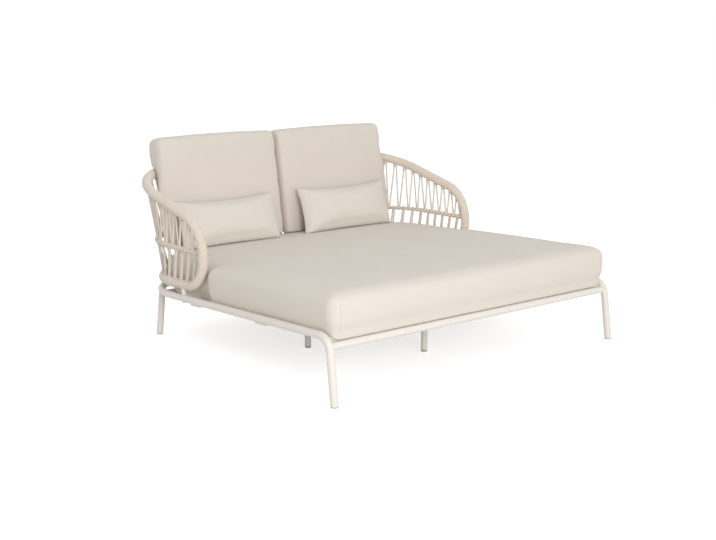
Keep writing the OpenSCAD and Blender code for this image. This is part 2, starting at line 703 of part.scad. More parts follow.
// Depth through a back cushion against how far the ring draws in
face_shares = [[0.34, 0.96], [0.2, 0.78], [0.1, 0.48], [0.05, 0.2]];
box_shares = [[1, 0], [0.3, 0.06], [0, 0.2], [0, 0.5], [0, 0.72], [0.1, 0.86], [0.5, 0.95], [1.2, 1]];
edge_draw = 9;
back_profile = concat(
    [for (s = face_shares) [s[0] * back_w, -s[1] * back_crown]],
    [for (s = box_shares) [s[0] * edge_draw, s[1] * back_t]],
    [for (i = [len(face_shares) - 1 : -1 : 0])
        [face_shares[i][0] * back_w, back_t + face_shares[i][1] * back_crown]]);

// The outer rear edge gives way to the loop's corner and swells again above the top rail
function back_point(p, depth, seam) = let (
        h = min(p.y, (top_z - back_z + depth * sin(back_lean)) / cos(back_lean)),
        y = back_y + depth * cos(back_lean) + h * sin(back_lean),
        z = back_z - depth * sin(back_lean) + h * cos(back_lean))
    [min(seam + p.x, loop_room(y, z) + max(0, p.y - rail_pass(depth) - over_rail)), depth, p.y];

module back_cushion(side, x) color("linen") on_back() {
    seam = side * x - back_w / 2;
    rings = [for (s = back_profile)
             [for (p = back_outline(s[0], s[1])) back_point(p, s[1], seam)]];
    middle = seam + back_w / 2;
    mirror([side < 0 ? 1 : 0, 0, 0])
        stacked([for (ring = rings) [for (i = [len(ring) - 1 : -1 : 0]) ring[i]]],
                [middle, -back_crown, back_h / 2],
                [middle, back_t + back_crown, back_h / 2]);
}

// Lumbar pillow: an outline with drawn-in edges and tips, scaled through its depth
pillow_outline = let (a = pillow_w / 2, b = pillow_h / 2) concat(
    [for (t = [-1 : 0.25 : 0.9]) [a * t, pillow_long_dip * (1 - t * t) - b]],
    [for (t = [-1 : 0.5 : 0.9]) [a - pillow_short_dip * (1 - t * t), b * t]],
    [for (t = [1 : -0.25 : -0.9]) [a * t, b - pillow_long_dip * (1 - t * t)]],
    [for (t = [1 : -0.5 : -0.9]) [pillow_short_dip * (1 - t * t) - a, b * t]]);

module lumbar_pillow(x) color("ivory") on_back()
    translate([x, pillow_depth, pillow_up]) rotate([back_lean - pillow_lean, 0, 0]) {
        shares = concat([for (s = ring_shares) [s, -1]], [[1, 0]],
                        [for (i = [len(ring_shares) - 1 : -1 : 0]) [ring_shares[i], 1]]);
        stacked([for (s = shares) [for (i = [len(pillow_outline) - 1 : -1 : 0])
                    let (p = pillow_outline[i] * s[0]) [p.x, s[1] * pillow_half(s[0]), p.y]]],
                [0, -pillow_t / 2, 0], [0, pillow_t / 2, 0]);
    }

side_rail(-1);  // side_rail_left
side_rail(1);  // side_rail_right
front_rail();
rear_rail();
rear_leg(-1);  // rear_leg_left
rear_leg(1);  // rear_leg_right
cross_bar(front_cross_bar_y);  // cross_bar_front
cross_bar(rear_cross_bar_y);  // cross_bar_rear
slat_ledge();
centre_beam();
side_beam(-1);  // side_beam_left
side_beam(1);  // side_beam_right
middle_leg(0, front_middle_leg_y);  // middle_leg_front
middle_leg(-side_middle_leg_x, side_middle_leg_y);  // middle_leg_left
middle_leg(side_middle_leg_x, side_middle_leg_y);  // middle_leg_right
seat_slats();
foot_glides();
loop_posts();
loop_bolts();
arm_core(-1);  // arm_core_left
arm_core(1);  // arm_core_right
back_core_top();
back_core_bottom();
arm_wrap(-1);  // arm_wrap_left
arm_wrap(1);  // arm_wrap_right
back_wrap_top();
back_wrap_bottom();
mid_rail_side(-1);  // mid_rail_left
mid_rail_side(1);  // mid_rail_right
mid_rail_back();
weave_upper();
weave_lower();
mattress();
back_cushion(-1, left_back_x);  // back_cushion_left
back_cushion(1, right_back_x);  // back_cushion_right
lumbar_pillow(left_pillow_x);  // lumbar_pillow_left
lumbar_pillow(right_pillow_x);  // lumbar_pillow_right
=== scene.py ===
# %% [markdown]
# # An outdoor daybed, dressed in Blender
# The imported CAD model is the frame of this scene: it gives the real sizes and the bodies that
# move. Blender adds what a solid model can't show well: rope winding, a knotted lattice, and soft
# cushions. Every piece below is made in metres, in the CAD model's own place, and rides on one of
# its bodies.

# %% Load the frame
import math
import time

import bmesh
import bpy
import numpy as np
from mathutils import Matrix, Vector
from mathutils.bvhtree import BVHTree


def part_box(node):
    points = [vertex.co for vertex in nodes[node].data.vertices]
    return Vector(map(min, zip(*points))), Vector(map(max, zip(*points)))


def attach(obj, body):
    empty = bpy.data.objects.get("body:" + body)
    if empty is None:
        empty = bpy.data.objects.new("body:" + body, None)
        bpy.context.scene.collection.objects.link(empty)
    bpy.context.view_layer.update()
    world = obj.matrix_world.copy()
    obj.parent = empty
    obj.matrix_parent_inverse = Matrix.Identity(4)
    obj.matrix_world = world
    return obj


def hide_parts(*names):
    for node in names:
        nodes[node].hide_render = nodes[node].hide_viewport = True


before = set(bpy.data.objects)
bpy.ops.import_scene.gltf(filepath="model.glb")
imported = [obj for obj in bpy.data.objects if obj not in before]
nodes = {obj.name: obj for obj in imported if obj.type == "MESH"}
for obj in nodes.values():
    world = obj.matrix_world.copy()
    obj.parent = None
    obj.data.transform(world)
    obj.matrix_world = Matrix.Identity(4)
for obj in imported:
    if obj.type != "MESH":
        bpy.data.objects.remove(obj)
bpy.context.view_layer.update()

scene = bpy.context.scene
print("CAD nodes:", len(nodes))

# %% [markdown]
# ## The camera
# The photograph was taken from the front left, a little above the seat, with a long lens. Its
# place was found from the straight rails and the legs, so the camera is simply set there.

# %% Set the camera
camera_data = bpy.data.cameras.new("camera")
camera = bpy.data.objects.new("camera", camera_data)
scene.collection.objects.link(camera)
camera.location = (-3.543, -4.2419, 1.431)
camera.rotation_euler = (math.radians(90 - 11.813), 0, math.radians(-39.459))
camera_data.sensor_width = 36
camera_data.lens = 62.0
camera_data.shift_x = 0.0060
camera_data.shift_y = 0.0065
camera_data.clip_end = 60
scene.camera = camera
scene.view_settings.view_transform = "Standard"
print("camera at", tuple(camera.location))

# %% [markdown]
# ## Node trees in a few words
# A material and a Geometry Nodes group are both trees of nodes. One method adds any node: it sets
# the node's settings first, then the values or links of its sockets. A second small class wraps a
# socket, so that shader maths reads as plain Python: `0.5 + mask * 0.1` adds its Math nodes.


# %% A helper for every node tree
class Tree:
    def __init__(self, tree):
        self.tree = tree

    def add(self, kind, settings=None, values=None):
        node = self.tree.nodes.new(kind)
        for name, value in (settings or {}).items():
            setattr(node, name, value)
        for name, value in (values or {}).items():
            self.put(node.inputs[name], value)
        return node

    def put(self, socket, value):
        if isinstance(value, Field):
            value = value.socket
        if isinstance(value, bpy.types.NodeSocket):
            self.tree.links.new(value, socket)
        else:
            socket.default_value = value

    def field(self, node, output=0):
        return Field(self, node.outputs[output])


class Field:
    """A number that varies over a surface, with Python's operators."""

    def __init__(self, tree, socket):
        self.tree, self.socket = tree, socket

    def math(self, operation, *others, clamp=False):
        values = dict(enumerate([self, *others]))
        node = self.tree.add("ShaderNodeMath", {"operation": operation, "use_clamp": clamp}, values)
        return self.tree.field(node)

    def __add__(self, other):
        return self.math("ADD", other)

    def __sub__(self, other):
        return self.math("SUBTRACT", other)

    def __mul__(self, other):
        return self.math("MULTIPLY", other)

    def __truediv__(self, other):
        return self.math("DIVIDE", other)

    def __rsub__(self, other):
        return (self * -1).math("ADD", other)

    __radd__ = __add__
    __rmul__ = __mul__

    def sin(self):
        return self.math("SINE")

    def clamp(self):
        return self.math("ADD", 0.0, clamp=True)


def srgb(red, green, blue):
    """A colour as a picture gives it, from 0 to 255, in the linear values that Blender works in."""
    return tuple(c / 12.92 if c <= 0.04045 else ((c + 0.055) / 1.055) ** 2.4
                 for c in (red / 255, green / 255, blue / 255))


print("Tree and Field are ready")

# %% [markdown]
# ## Powder-coated tube
# The base is welded from aluminium tube and powder coated in a warm off-white. Powder coat is a
# satin plastic skin: even in colour, with a faint orange peel that breaks up the highlights.


# %% Material helpers and the powder coat
def new_material(name, **constants):
    """A Principled material. What is the same all over goes on the shader's own sockets."""
    material = bpy.data.materials.new(name)
    material.use_nodes = True
    tree = Tree(material.node_tree)
    shader = material.node_tree.nodes["Principled BSDF"]
    for socket, value in constants.items():
        shader.inputs[socket.replace("_", " ")].default_value = value
    return material, tree, shader


def noise(tree, vector, scale, detail, roughness=0.5):
    node = tree.add("ShaderNodeTexNoise", {"noise_dimensions": "3D"},
                    {"Vector": vector, "Scale": scale, "Detail": detail, "Roughness": roughness})
    return tree.field(node, "Fac")


def blend_colours(tree, share, low, high):
    node = tree.add("ShaderNodeMix", {"data_type": "RGBA"},
                    {0: share, 6: (*low, 1), 7: (*high, 1)})
    return node.outputs[2]


def bump(tree, height, distance, strength):
    node = tree.add("ShaderNodeBump", None,
                    {"Height": height, "Distance": distance, "Strength": strength})
    return node.outputs["Normal"]


paint, tree, shader = new_material("powder_coat", IOR=1.5, Specular_IOR_Level=0.42)
place = tree.add("ShaderNodeTexCoord").outputs["Object"]
peel = noise(tree, place, 420, 2)
cloud = noise(tree, place, 9, 3)
tree.put(shader.inputs["Base Color"],
         blend_colours(tree, cloud, srgb(227, 220, 211), srgb(233, 227, 219)))
tree.put(shader.inputs["Roughness"], 0.36 + cloud * 0.10 + peel * 0.04)
tree.put(shader.inputs["Normal"], bump(tree, peel, 0.00025, 0.55))
print("powder coat made")

# %% [markdown]
# ## Glides and bolts
# Grey plastic glides sit under the legs, and stainless bolts hold the loop from below. They are
# small, so a fine mottling and a brushed roughness are all they need.

# %% Plastic and steel
plastic, tree, shader = new_material("glide_plastic", IOR=1.46)
place = tree.add("ShaderNodeTexCoord").outputs["Object"]
mottle = noise(tree, place, 260, 3)
tree.put(shader.inputs["Base Color"],
         blend_colours(tree, mottle, srgb(176, 172, 166), srgb(196, 192, 186)))
tree.put(shader.inputs["Roughness"], 0.50 + mottle * 0.14)
tree.put(shader.inputs["Normal"], bump(tree, mottle, 0.0002, 0.5))

steel, tree, shader = new_material("bolt_steel", Metallic=1.0)
place = tree.add("ShaderNodeTexCoord").outputs["Object"]
brushed = noise(tree, place, 900, 1)
tree.put(shader.inputs["Base Color"],
         blend_colours(tree, brushed, srgb(168, 168, 166), srgb(196, 196, 194)))
tree.put(shader.inputs["Roughness"], 0.26 + brushed * 0.16)
print("plastic and steel made")

# %% [markdown]
# ## Rope
# The rope is a round outdoor braid in warm beige. Its weave follows the rope, so this material
# reads the rope's own UV map: U runs along the rope in metres, V once around it. Two sets of
# slanted strands cross each other; the colour is painted darker in the grooves between the strands,
# as painted shade.

# %% The rope material
braid_pitch, strands_round = 0.006, 4
rope, tree, shader = new_material("braided_rope", Sheen_Weight=0.12, Sheen_Roughness=0.6)
uv = tree.add("ShaderNodeUVMap", {"uv_map": "UVMap"}).outputs[0]
split = tree.add("ShaderNodeSeparateXYZ", None, {0: uv})
along, around = tree.field(split, 0), tree.field(split, 1)
place = tree.add("ShaderNodeTexCoord").outputs["Object"]
right_hand = ((along / braid_pitch + around * strands_round) * (2 * math.pi)).sin()
left_hand = ((along / braid_pitch - around * strands_round) * (2 * math.pi)).sin()
strands = (right_hand.math("MAXIMUM", left_hand) * 0.5 + 0.5).clamp()
weathering = noise(tree, place, 14, 3)
fibre = noise(tree, place, 700, 2)
# painted shade: the strand mask darkens the colour in the grooves between strands; weathering and
# fibre add random tone
shade = (strands * 0.62 + weathering * 0.26 + fibre * 0.12).clamp()
tree.put(shader.inputs["Base Color"],
         blend_colours(tree, shade, srgb(203, 190, 174), srgb(244, 234, 221)))
tree.put(shader.inputs["Roughness"], 0.72 + fibre * 0.14)
tree.put(shader.inputs["Normal"], bump(tree, strands * 0.85 + fibre * 0.15, 0.0007, 0.8))
print("rope made")

# %% [markdown]
# ## Upholstery fabric
# All cushions wear a plain-woven outdoor cloth, cream with a greyish cast and slightly thick
# threads here and there. Each cushion carries a UV map in metres, laid on from the side that its
# surface faces, so the threads run straight along its panels. The lumbar pillows are a shade
# lighter.


# %% The fabric material
def fabric(name, dark, light, thread=0.0017):
    material, tree, shader = new_material(name, Sheen_Weight=0.18, Sheen_Roughness=0.5,
                                          Specular_IOR_Level=0.25)
    uv = tree.add("ShaderNodeUVMap", {"uv_map": "UVMap"}).outputs[0]
    place = tree.add("ShaderNodeTexCoord").outputs["Object"]
    split = tree.add("ShaderNodeSeparateXYZ", None, {0: uv})
    turn = 2 * math.pi / thread
    warp = (tree.field(split, 0) * turn).sin()
    weft = (tree.field(split, 1) * turn).sin()
    weave = (warp * weft) * 0.5 + 0.5
    slubs = []
    for scale in ((60, 900, 1), (900, 60, 1)):
        drawn = tree.add("ShaderNodeMapping", None, {"Vector": uv, "Scale": scale}).outputs[0]
        slubs.append(noise(tree, drawn, 1.0, 2, 0.6))
    slub = slubs[0].math("MAXIMUM", slubs[1])
    cloud = noise(tree, place, 5, 2)
    shade = (weave * 0.22 + slub * 0.62 + cloud * 0.16).clamp()
    tree.put(shader.inputs["Base Color"], blend_colours(tree, shade, dark, light))
    tree.put(shader.inputs["Roughness"], 0.80 + slub * 0.12)
    tree.put(shader.inputs["Normal"], bump(tree, weave * 0.5 + slub * 0.5, 0.0005, 0.7))
    return material


mattress_cloth = fabric("mattress_cloth", srgb(206, 197, 186), srgb(238, 231, 221))
cushion_cloth = fabric("cushion_cloth", srgb(205, 195, 185), srgb(237, 229, 220))
pillow_cloth = fabric("pillow_cloth", srgb(208, 201, 191), srgb(240, 234, 225))
print("three fabrics made")

# %% Dress the carried-over CAD nodes
finishes = {"foot_glides": plastic, "loop_bolts": steel}
for name, node in nodes.items():
    node.data.materials.clear()
    node.data.materials.append(finishes.get(name, paint))
print("CAD nodes dressed:", len(nodes))

# %% [markdown]
# ## The lines that the rope follows
# The arm and back loop is a bent tube. The same corners and bend radii as in the CAD source give
# its centre line here, in metres. Three U-shaped lines carry the lattice: the top rail, the level
# middle rail and the lower rail, each measured from the rear centre.

# %% Sizes of the loop, from the CAD source
front_y, front_z, rear_z = -0.75393, 0.263, 0.220
rail_run, arm_run, overhang = 1.436, 0.878, 0.102
slope = math.atan((front_z - rear_z) / rail_run)
rise = math.radians(14.6)
rear_y = front_y + rail_run
rail_length = rail_run / math.cos(slope)
loop_gap = 0.056
arm_x, arm_y, arm_top = 0.776, front_y + arm_run, 0.560
top_radius, middle_radius, low_radius = 0.290, 0.308, 0.318
arm_top_radius, arm_low_radius = 0.168, 0.134
wrap_radius = 0.022
top_y = rear_y + overhang
top_z = arm_top + (top_y - arm_y) * math.tan(rise)
low_front_v = (arm_run - loop_gap * math.sin(slope)) / math.cos(slope)
low_z = rear_z + loop_gap * math.cos(slope)
middle_z = 0.445
middle_share = (middle_z - low_z) / (top_z - low_z)
middle_y = rear_y + loop_gap * math.sin(slope) + middle_share * overhang
print(f"top rail {top_z:.3f} m high at the back, middle rail at y {middle_y:.3f}")


# %% Points along a bent tube
def unit(v):
    return v / np.linalg.norm(v)


def on_rails(x, v, w):
    """A point by its place in the sloping plane of the base rails."""
    return np.array([x, front_y + v * math.cos(slope) + w * math.sin(slope),
                     front_z - v * math.sin(slope) + w * math.cos(slope)])


def rounded(corners, radii, step=0.006):
    """The centre line of a tube through the corners, bent with a radius at each inner one."""
    corners = [np.array(c, float) for c in corners]
    points = [corners[0]]
    for before, corner, after, radius in zip(corners, corners[1:], corners[2:], radii):
        a, b = unit(before - corner), unit(after - corner)
        angle = math.pi - math.acos(np.clip(a @ b, -1, 1))
        if angle < 1e-3:
            continue
        trim = radius * math.tan(angle / 2)
        centre = corner + unit(a + b) * math.hypot(radius, trim)
        first, ahead = unit(corner + a * trim - centre), -a
        count = max(2, int(radius * angle / step))
        points += [centre + radius * (first * math.cos(angle * i / count)
                                      + ahead * math.sin(angle * i / count))
                   for i in range(count + 1)]
    points.append(corners[-1])
    return points


def u_place(s, radius):
    """Across and forward place on a U-shaped line, at the distance s from its rear centre."""
    flat = arm_x - radius
    turn = (abs(s) - flat) / radius
    if turn <= 0:
        return s, 0.0
    if turn <= math.pi / 2:
        return (math.copysign(flat + radius * math.sin(turn), s), radius * (1 - math.cos(turn)))
    return math.copysign(arm_x, s), radius + abs(s) - flat - math.pi / 2 * radius


def u_length(radius, straight):
    return arm_x - radius + math.pi / 2 * radius + straight


top_length = u_length(top_radius, (top_y - top_radius * math.cos(rise) - arm_y) / math.cos(rise))
middle_length = u_length(middle_radius, middle_y - middle_radius - arm_y)
low_length = u_length(low_radius, rail_length - low_radius - low_front_v)
top_bend = top_length - arm_top_radius * math.tan((math.pi / 2 - rise) / 2)
low_bend = low_length - arm_low_radius * math.tan((math.pi / 2 - slope) / 2)
print(f"half lengths: top {top_length:.3f}, middle {middle_length:.3f}, lower {low_length:.3f} m")


# %% Points on the three lines of the lattice
def curl(point, ahead, aside, radius, past):
    """The end of an arc that starts at the point and is as long as past."""
    turn = past / radius
    return (point + np.array(ahead) * radius * math.sin(turn)
            + np.array(aside) * radius * (1 - math.cos(turn)))


def top_point(s):
    straight = min(abs(s), top_bend)
    x, y = u_place(math.copysign(straight, s), top_radius)
    start = np.array([x, top_y - y * math.cos(rise), top_z - y * math.sin(rise)])
    return curl(start, (0, -math.cos(rise), -math.sin(rise)), (0, math.sin(rise), -math.cos(rise)),
                arm_top_radius, abs(s) - straight)


def low_point(s):
    straight = min(abs(s), low_bend)
    x, y = u_place(math.copysign(straight, s), low_radius)
    return curl(on_rails(x, rail_length - y, loop_gap), (0, -math.cos(slope), math.sin(slope)),
                (0, math.sin(slope), math.cos(slope)), arm_low_radius, abs(s) - straight)


def middle_point(s):
    x, y = u_place(s, middle_radius)
    return np.array([x, middle_y - y, middle_z])


print("back of the middle rail:", np.round(middle_point(0), 3))

# %% [markdown]
# ## Geometry Nodes for rope
# Winding, lattice and seams all repeat along a path, so Geometry Nodes make them. Each path is a
# mesh of plain edges. A group turns it into a curve, sweeps a round section along it, writes a UV
# map in metres, and ends in Realize Instances and Set Material. The result is then read as a
# plain mesh.


# %% Helpers for Geometry Nodes
def new_group(name, inputs):
    """A Geometry Nodes group with named inputs; returns the tree, its input node and a finisher."""
    group = bpy.data.node_groups.new(name, "GeometryNodeTree")
    group.interface.new_socket("Geometry", in_out="INPUT", socket_type="NodeSocketGeometry")
    group.interface.new_socket("Geometry", in_out="OUTPUT", socket_type="NodeSocketGeometry")
    for label, kind in inputs.items():
        group.interface.new_socket(label, in_out="INPUT", socket_type=kind)
    tree = Tree(group)
    source = tree.add("NodeGroupInput").outputs

    def finish(geometry):
        solid = tree.add("GeometryNodeRealizeInstances", None, {0: geometry}).outputs[0]
        painted = tree.add("GeometryNodeSetMaterial", None,
                           {"Geometry": solid, "Material": source["Material"]}).outputs[0]
        tree.add("NodeGroupOutput", None, {0: painted})
        return group

    return tree, source, finish


def new_path(name, lines, attributes=None):
    """A mesh of edges, one chain for each line, with optional vector attributes on its points."""
    points = [tuple(p) for line in lines for p in line]
    edges, start = [], 0
    for line in lines:
        edges += [(start + i, start + i + 1) for i in range(len(line) - 1)]
        start += len(line)
    mesh = bpy.data.meshes.new(name)
    mesh.from_pydata(points, edges, [])
    for label, values in (attributes or {}).items():
        layer = mesh.attributes.new(label, "FLOAT_VECTOR", "POINT")
        layer.data.foreach_set("vector", np.array(values, np.float32).ravel())
    return mesh


def grow(name, path, group, values, body):
    """Runs a group on a path, keeps the result as a plain mesh and lets it ride on a body."""
    carrier = bpy.data.objects.new(name + "_path", path)
    scene.collection.objects.link(carrier)
    modifier = carrier.modifiers.new("grow", "NODES")
    modifier.node_group = group
    for item in group.interface.items_tree:
        if item.in_out == "INPUT" and item.name in values:
            modifier[item.identifier] = values[item.name]
    depsgraph = bpy.context.evaluated_depsgraph_get()
    mesh = bpy.data.meshes.new_from_object(carrier.evaluated_get(depsgraph), depsgraph=depsgraph)
    bpy.data.objects.remove(carrier)
    piece = bpy.data.objects.new(name, mesh)
    mesh.name = name
    scene.collection.objects.link(piece)
    mesh.shade_smooth()
    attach(piece, body)
    print(f"{name}: {sum(len(p.vertices) - 2 for p in mesh.polygons):,} triangles")
    return piece


print("Geometry Nodes helpers ready")


# %% A group that sweeps rope along paths
def sweep(tree, curve, radius, sides):
    """Sweeps a round section along a curve and stores U along it and V around it."""
    length = tree.add("GeometryNodeSplineParameter").outputs["Length"]
    marked = tree.add("GeometryNodeCaptureAttribute", {"domain": "POINT"})
    marked.capture_items.new("FLOAT", "Along")
    tree.put(marked.inputs[0], curve)
    tree.put(marked.inputs[1], length)
    ring = tree.add("GeometryNodeCurvePrimitiveCircle", None,
                    {"Resolution": sides, "Radius": radius}).outputs[0]
    share = tree.add("GeometryNodeSplineParameter").outputs["Factor"]
    turned = tree.add("GeometryNodeCaptureAttribute", {"domain": "POINT"})
    turned.capture_items.new("FLOAT", "Around")
    tree.put(turned.inputs[0], ring)
    tree.put(turned.inputs[1], share)
    tube = tree.add("GeometryNodeCurveToMesh", None,
                    {"Curve": marked.outputs[0], "Profile Curve": turned.outputs[0],
                     "Fill Caps": True}).outputs[0]
    uv = tree.add("ShaderNodeCombineXYZ", None, {0: marked.outputs[1], 1: turned.outputs[1]})
    return tree.add("GeometryNodeStoreNamedAttribute",
                    {"data_type": "FLOAT2", "domain": "CORNER"},
                    {"Geometry": tube, "Name": "UVMap", "Value": uv.outputs[0]}).outputs[0]


tree, source, finish = new_group("rope_run", {
    "Radius": "NodeSocketFloat", "Sides": "NodeSocketInt", "Material": "NodeSocketMaterial"})
curve = tree.add("GeometryNodeMeshToCurve", None, {0: source["Geometry"]}).outputs[0]
rope_run = finish(sweep(tree, curve, source["Radius"], source["Sides"]))
print("group rope_run:", len(rope_run.nodes), "nodes")

# %% [markdown]
# ## The winding
# The whole loop is wound with rope, turn against turn. The group below walks along the tube's
# centre line and swings each point out to the side by the winding radius, once around for each
# pitch. The curve's own normal is set to point outwards, so the rope's UV seam stays on the
# hidden inner side.

# %% A group that winds rope round a path
tree, source, finish = new_group("rope_winding", {
    "Pitch": "NodeSocketFloat", "Swing": "NodeSocketFloat", "Radius": "NodeSocketFloat",
    "Steps": "NodeSocketInt", "Sides": "NodeSocketInt", "Material": "NodeSocketMaterial"})
curve = tree.add("GeometryNodeMeshToCurve", None, {0: source["Geometry"]}).outputs[0]
total = tree.field(tree.add("GeometryNodeCurveLength", None, {0: curve}))
turns = total / Field(tree, source["Pitch"])
count = (turns * Field(tree, source["Steps"])).math("ROUND")
curve = tree.add("GeometryNodeResampleCurve", {"mode": "COUNT"},
                 {"Curve": curve, "Count": count}).outputs[0]
reach = Field(tree, tree.add("GeometryNodeSplineParameter").outputs["Length"])
angle = reach / Field(tree, source["Pitch"]) * (2 * math.pi)
normal = tree.add("GeometryNodeInputNormal").outputs[0]
tangent = tree.add("GeometryNodeInputTangent").outputs[0]
swung = tree.add("ShaderNodeVectorRotate", {"rotation_type": "AXIS_ANGLE"},
                 {"Vector": normal, "Axis": tangent, "Angle": angle}).outputs[0]
held = tree.add("GeometryNodeCaptureAttribute", {"domain": "POINT"})
held.capture_items.new("VECTOR", "Out")
tree.put(held.inputs[0], curve)
tree.put(held.inputs[1], swung)
offset = tree.add("ShaderNodeVectorMath", {"operation": "SCALE"},
                  {0: held.outputs[1], "Scale": source["Swing"]}).outputs[0]
helix = tree.add("GeometryNodeSetPosition", None,
                 {"Geometry": held.outputs[0], "Offset": offset}).outputs[0]
helix = tree.add("GeometryNodeSetCurveNormal", {"mode": "FREE"},
                 {"Curve": helix, "Normal": held.outputs[1]}).outputs[0]
rope_winding = finish(sweep(tree, helix, source["Radius"], source["Sides"]))
print("group rope_winding:", len(rope_winding.nodes), "nodes")


# %% Wind the arms and the back
wind_rope = 0.0075
winding = {"Pitch": 0.0110, "Swing": wrap_radius - wind_rope, "Radius": wind_rope,
           "Steps": 16, "Sides": 9, "Material": rope}
low_seam = on_rails(arm_x, rail_length - low_radius, loop_gap)
low_front = on_rails(arm_x, low_front_v, loop_gap)
low_rear = on_rails(arm_x, rail_length, loop_gap)
top_front = np.array([arm_x, arm_y, arm_top])
top_rear = np.array([arm_x, top_y, top_z])
top_seam = np.array([arm_x, top_y - top_radius * math.cos(rise),
                     top_z - top_radius * math.sin(rise)])


def flip(point, side):
    return np.array(point) * (side, 1, 1)


for label, side in (("left", -1), ("right", 1)):
    line = rounded([flip(p, side) for p in (low_seam, low_front, top_front, top_seam)],
                   [arm_low_radius, arm_top_radius])
    piece = grow(f"arm_winding_{label}", new_path("arm", [line]), rope_winding, winding,
                 "frame")
    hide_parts(f"arm_wrap_{label}")

for label, seam, rear, radius in (("top", top_seam, top_rear, top_radius),
                                  ("bottom", low_seam, low_rear, low_radius)):
    line = rounded([flip(seam, -1), flip(rear, -1), rear, seam], [radius, radius])
    piece = grow(f"back_winding_{label}", new_path("back", [line]), rope_winding, winding,
                 "frame")
    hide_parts(f"back_wrap_{label}")

# %% [markdown]
# ## The middle rail
# The lattice ropes are tied over a thin wire, which is itself wound with a thinner rope, turn
# against turn. The group for the arms makes this winding too, on a smaller radius.

# %% Wind the middle rail
middle_reach = middle_length - wrap_radius - 0.001
middle_line = [middle_point(s) for s in np.linspace(-middle_reach, middle_reach, 500)]
piece = grow("middle_rail_rope", new_path("middle", [middle_line]), rope_winding,
             {**winding, "Pitch": 0.0080, "Swing": 0.0052, "Radius": 0.0040, "Steps": 12,
              "Sides": 8}, "frame")
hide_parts("mid_rail_left", "mid_rail_right", "mid_rail_back")

# %% [markdown]
# ## The lattice
# From every knot under the top rail two ropes spread. Each meets a rope of the next knot just
# above the middle rail, where the two are tied side by side. Below it, a pair of ropes under
# every knot runs down to the lower rail. Only the paths are worked out here; the group sweeps
# them.

# %% Places of the knots and pairs
cells = 22
top_margin, middle_margin, low_margin, tie_margin = 0.056, 0.055, 0.085, 0.038
lattice_radius, pair_gap, rope_bend = 0.0042, 0.010, 0.03
beside = lattice_radius * 1.05
meeting = 0.95
end_reach = wrap_radius - 0.003


def top_at(i):
    return i / cells * (top_length - top_margin)


def middle_at(i):
    return i / cells * (middle_length - middle_margin)


def low_at(i):
    return i / cells * (low_length - low_margin)


def foremost(s):
    """A place on the middle rail, held back from the end of the rail in front."""
    return math.copysign(min(abs(s), middle_length - tie_margin), s)


print(f"pitch {top_at(1) * 1000:.1f} mm above, {middle_at(1) * 1000:.1f} mm on the middle rail")

# %% Sweep the upper and the lower ropes
upper, lower = [], []
for i in range(-cells, cells + 1):
    for way in (-1, 1):
        half = i + way / 2
        start = top_point(top_at(i) + way * pair_gap / 3)
        end = middle_point(foremost(middle_at(half) - way * beside))
        over = top_point(top_at(half) - way * beside)
        meet = over + (end - over) * meeting
        start = start + unit(meet - start) * end_reach
        upper.append(rounded([start, meet, end], [rope_bend]))
        top_end = middle_point(middle_at(i) + way * pair_gap / 2)
        low_end = low_point(low_at(i) + way * pair_gap / 2)
        low_end = low_end + unit(top_end - low_end) * end_reach
        lower.append([top_end, (top_end + low_end) / 2, low_end])

lattice = {"Radius": lattice_radius, "Sides": 8, "Material": rope}
piece = grow("lattice_upper", new_path("upper", upper), rope_run, lattice, "frame")
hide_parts("weave_upper")
piece = grow("lattice_lower", new_path("lower", lower), rope_run, lattice, "frame")
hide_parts("weave_lower")

# %% [markdown]
# ## The knots
# A knot is a short collar of rope turns round the pair that hangs from the rail. It repeats well
# over a hundred times, so it stays simple: one ring of bumps turned from a few dozen faces, and a
# group puts one on every point, turned by the two directions that the point carries.

# %% A group that sets one knot on every point
tree, source, finish = new_group("knots", {
    "Knot": "NodeSocketObject", "Material": "NodeSocketMaterial"})
knot = tree.add("GeometryNodeObjectInfo", None, {"Object": source["Knot"]}).outputs["Geometry"]
down = tree.add("GeometryNodeInputNamedAttribute", {"data_type": "FLOAT_VECTOR"},
                {"Name": "down"}).outputs[0]
aside = tree.add("GeometryNodeInputNamedAttribute", {"data_type": "FLOAT_VECTOR"},
                 {"Name": "aside"}).outputs[0]
turn = tree.add("FunctionNodeAlignRotationToVector", {"axis": "Z"}, {"Vector": down}).outputs[0]
turn = tree.add("FunctionNodeAlignRotationToVector", {"axis": "X", "pivot_axis": "Z"},
                {"Rotation": turn, "Vector": aside}).outputs[0]
points = tree.add("GeometryNodeMeshToPoints", None, {0: source["Geometry"]}).outputs[0]
placed = tree.add("GeometryNodeInstanceOnPoints", None,
                  {"Points": points, "Instance": knot, "Rotation": turn}).outputs[0]
knot_group = finish(placed)
print("group knots:", len(knot_group.nodes), "nodes")


